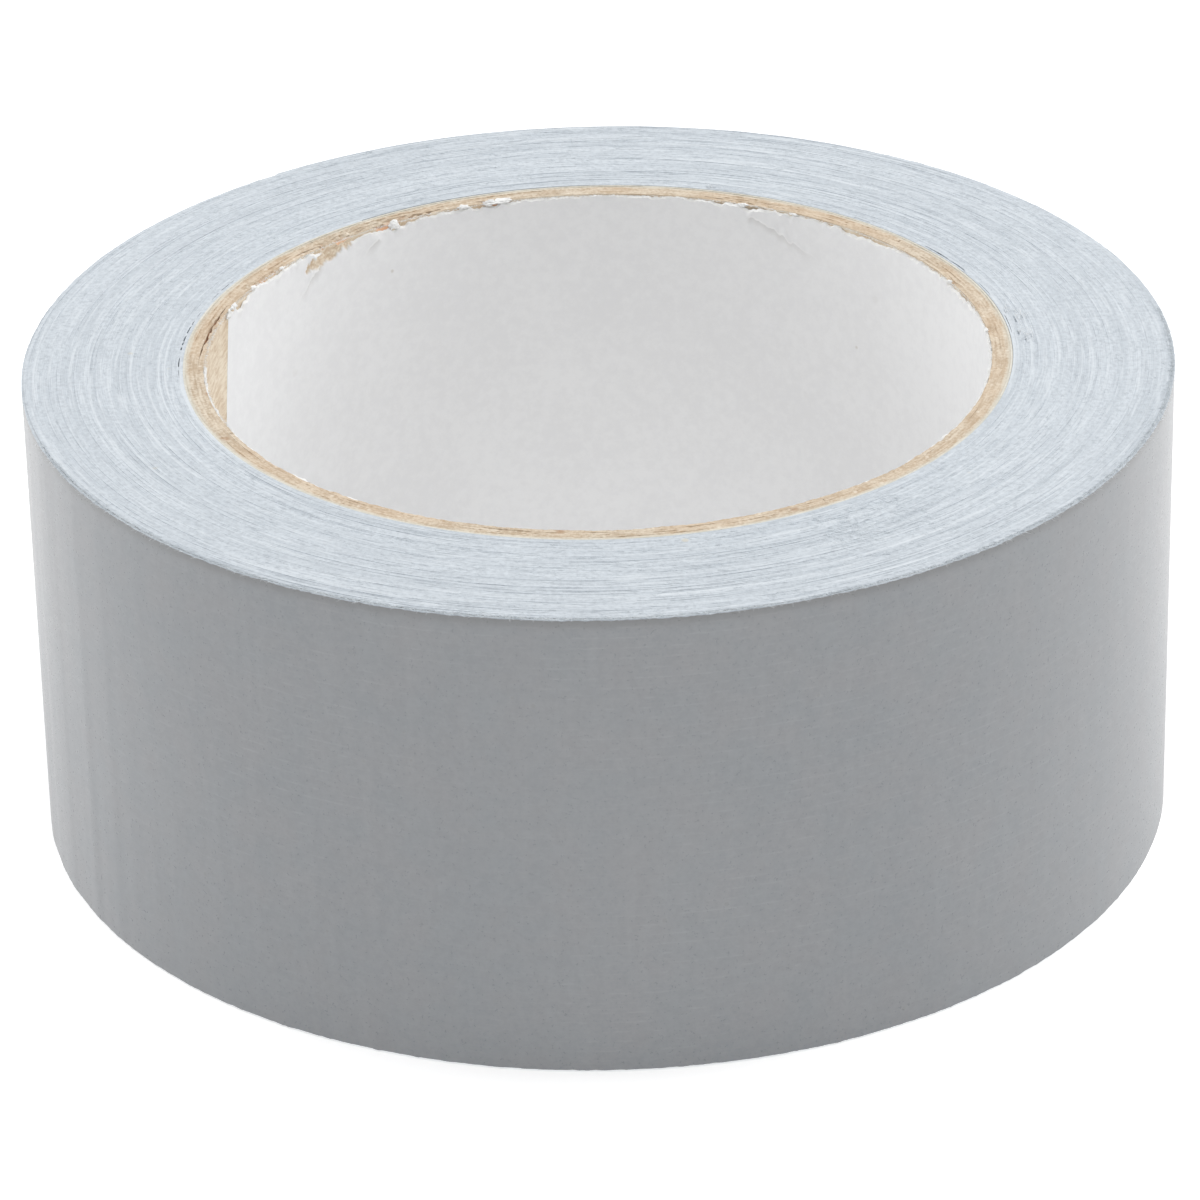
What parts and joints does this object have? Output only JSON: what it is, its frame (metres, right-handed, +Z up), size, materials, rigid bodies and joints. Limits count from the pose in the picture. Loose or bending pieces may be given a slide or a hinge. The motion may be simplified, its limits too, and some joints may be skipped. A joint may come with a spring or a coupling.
{
  "type": "duct tape roll",
  "caption": "Wide roll of grey cloth-backed duct tape on a layered paperboard core, with a free tape end that peels off the back.",
  "frame": {"origin": "the roll's axis at the lower side face, where the roll lies on a table", "axes": "+Z up along the roll's axis, +Y towards the back, where the free tape end lies, +X to the right seen from the front"},
  "size_m": [0.1131, 0.1132, 0.048],
  "materials": {
    "tape_film": "satin grey polyethylene film, faint weave showing through",
    "tape_scrim": "open woven cloth, thin warp and weft yarns",
    "tape_adhesive": "tacky grey rubber adhesive, slightly glossy",
    "wound_tape": "slit edges of the wound tape, fine concentric lines and loose fibres",
    "kraft_paper": "uncoated brown paperboard plies with cut, fuzzy edges",
    "cover_paper": "pale uncoated ply next to the tape",
    "liner_paper": "smooth white lining paper with a torn upper edge"
  },
  "bodies": {
    "roll": {"core_liner": "liner_paper", "core_ply_1": "kraft_paper", "core_ply_2": "kraft_paper", "core_ply_3": "kraft_paper", "core_ply_4": "kraft_paper", "core_cover_ply": "cover_paper", "tape_winding": "wound_tape", "outer_wrap_adhesive": "tape_adhesive", "outer_wrap_scrim": "tape_scrim", "outer_wrap_film": "tape_film"},
    "tail_1": {"tail_1_adhesive": "tape_adhesive", "tail_1_scrim": "tape_scrim", "tail_1_film": "tape_film"},
    "tail_2": {"tail_2_adhesive": "tape_adhesive", "tail_2_scrim": "tape_scrim", "tail_2_film": "tape_film"},
    "tail_3": {"tail_3_adhesive": "tape_adhesive", "tail_3_scrim": "tape_scrim", "tail_3_film": "tape_film"},
    "tail_4": {"tail_4_adhesive": "tape_adhesive", "tail_4_scrim": "tape_scrim", "tail_4_film": "tape_film"},
    "tail_5": {"tail_5_adhesive": "tape_adhesive", "tail_5_scrim": "tape_scrim", "tail_5_film": "tape_film"},
    "tail_6": {"tail_6_adhesive": "tape_adhesive", "tail_6_scrim": "tape_scrim", "tail_6_film": "tape_film"}
  },
  "joints": [
    {"name": "peel_1", "type": "hinge", "parent": "roll", "child": "tail_1", "pos_m": [0.03322, 0.04588, 0], "axis": [0, 0, -1], "range_deg": [0, 24]},
    {"name": "peel_2", "type": "hinge", "parent": "tail_1", "child": "tail_2", "pos_m": [0.02297, 0.0518, 0], "axis": [0, 0, -1], "range_deg": [0, 24]},
    {"name": "peel_3", "type": "hinge", "parent": "tail_2", "child": "tail_3", "pos_m": [0.01172, 0.05545, 0], "axis": [0, 0, -1], "range_deg": [0, 24]},
    {"name": "peel_4", "type": "hinge", "parent": "tail_3", "child": "tail_4", "pos_m": [-0.00006, 0.05669, 0], "axis": [0, 0, -1], "range_deg": [0, 24]},
    {"name": "peel_5", "type": "hinge", "parent": "tail_4", "child": "tail_5", "pos_m": [-0.01183, 0.05545, 0], "axis": [0, 0, -1], "range_deg": [0, 24]},
    {"name": "peel_6", "type": "hinge", "parent": "tail_5", "child": "tail_6", "pos_m": [-0.02308, 0.0518, 0], "axis": [0, 0, -1], "range_deg": [0, 24]}
  ],
  "couplings": [
    {"joint": "peel_2", "follows": "peel_1", "ratio": 1},
    {"joint": "peel_3", "follows": "peel_1", "ratio": 1},
    {"joint": "peel_4", "follows": "peel_1", "ratio": 1},
    {"joint": "peel_5", "follows": "peel_1", "ratio": 1},
    {"joint": "peel_6", "follows": "peel_1", "ratio": 1}
  ]
}
